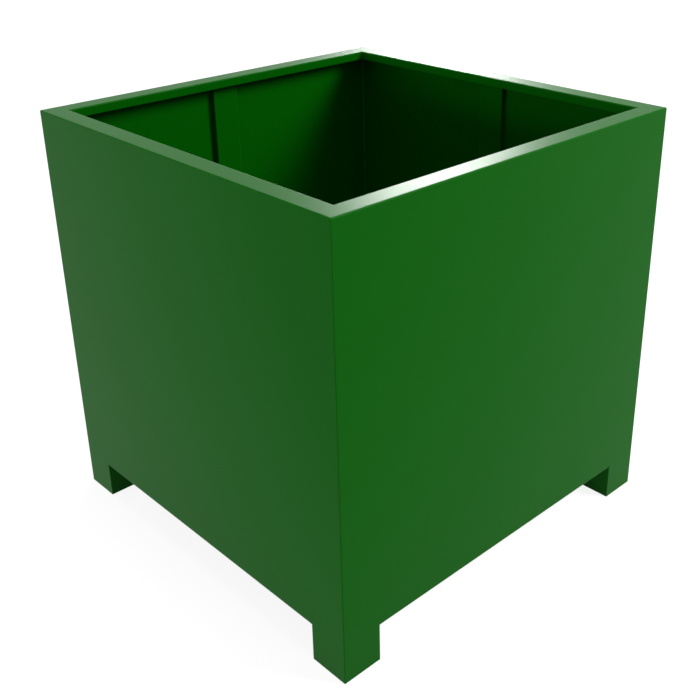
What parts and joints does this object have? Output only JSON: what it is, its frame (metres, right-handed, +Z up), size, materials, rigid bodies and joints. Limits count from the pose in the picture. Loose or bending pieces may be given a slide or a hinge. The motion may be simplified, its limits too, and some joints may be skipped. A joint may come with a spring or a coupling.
{
  "type": "planter box",
  "caption": "Open cube planter of folded, welded and powder-coated sheet steel, with a flat folded rim, stiffened walls, a drained base and boxed corner feet.",
  "frame": {"origin": "middle of the plan, on the ground under the feet", "axes": "+X to the right, +Y to the back, +Z up to the open top"},
  "size_m": [1, 1, 1],
  "materials": {
    "green_powder_coat": "smooth satin powder coat over steel, leaf green"
  },
  "bodies": {
    "root": {"back_left_foot_angle": "green_powder_coat", "back_left_foot_plate": "green_powder_coat", "back_right_foot_angle": "green_powder_coat", "back_right_foot_plate": "green_powder_coat", "back_stiffener": "green_powder_coat", "back_wall_panel": "green_powder_coat", "base_plate": "green_powder_coat", "base_support_1": "green_powder_coat", "base_support_2": "green_powder_coat", "base_support_3": "green_powder_coat", "base_welds": "green_powder_coat", "corner_welds": "green_powder_coat", "foot_angle_welds": "green_powder_coat", "foot_plate_welds": "green_powder_coat", "front_left_foot_angle": "green_powder_coat", "front_left_foot_plate": "green_powder_coat", "front_right_foot_angle": "green_powder_coat", "front_right_foot_plate": "green_powder_coat", "front_stiffener": "green_powder_coat", "front_wall_panel": "green_powder_coat", "left_stiffener": "green_powder_coat", "left_wall_panel": "green_powder_coat", "right_stiffener": "green_powder_coat", "right_wall_panel": "green_powder_coat", "rim_mitre_welds": "green_powder_coat", "stiffener_welds": "green_powder_coat", "support_welds": "green_powder_coat"}
  },
  "joints": []
}
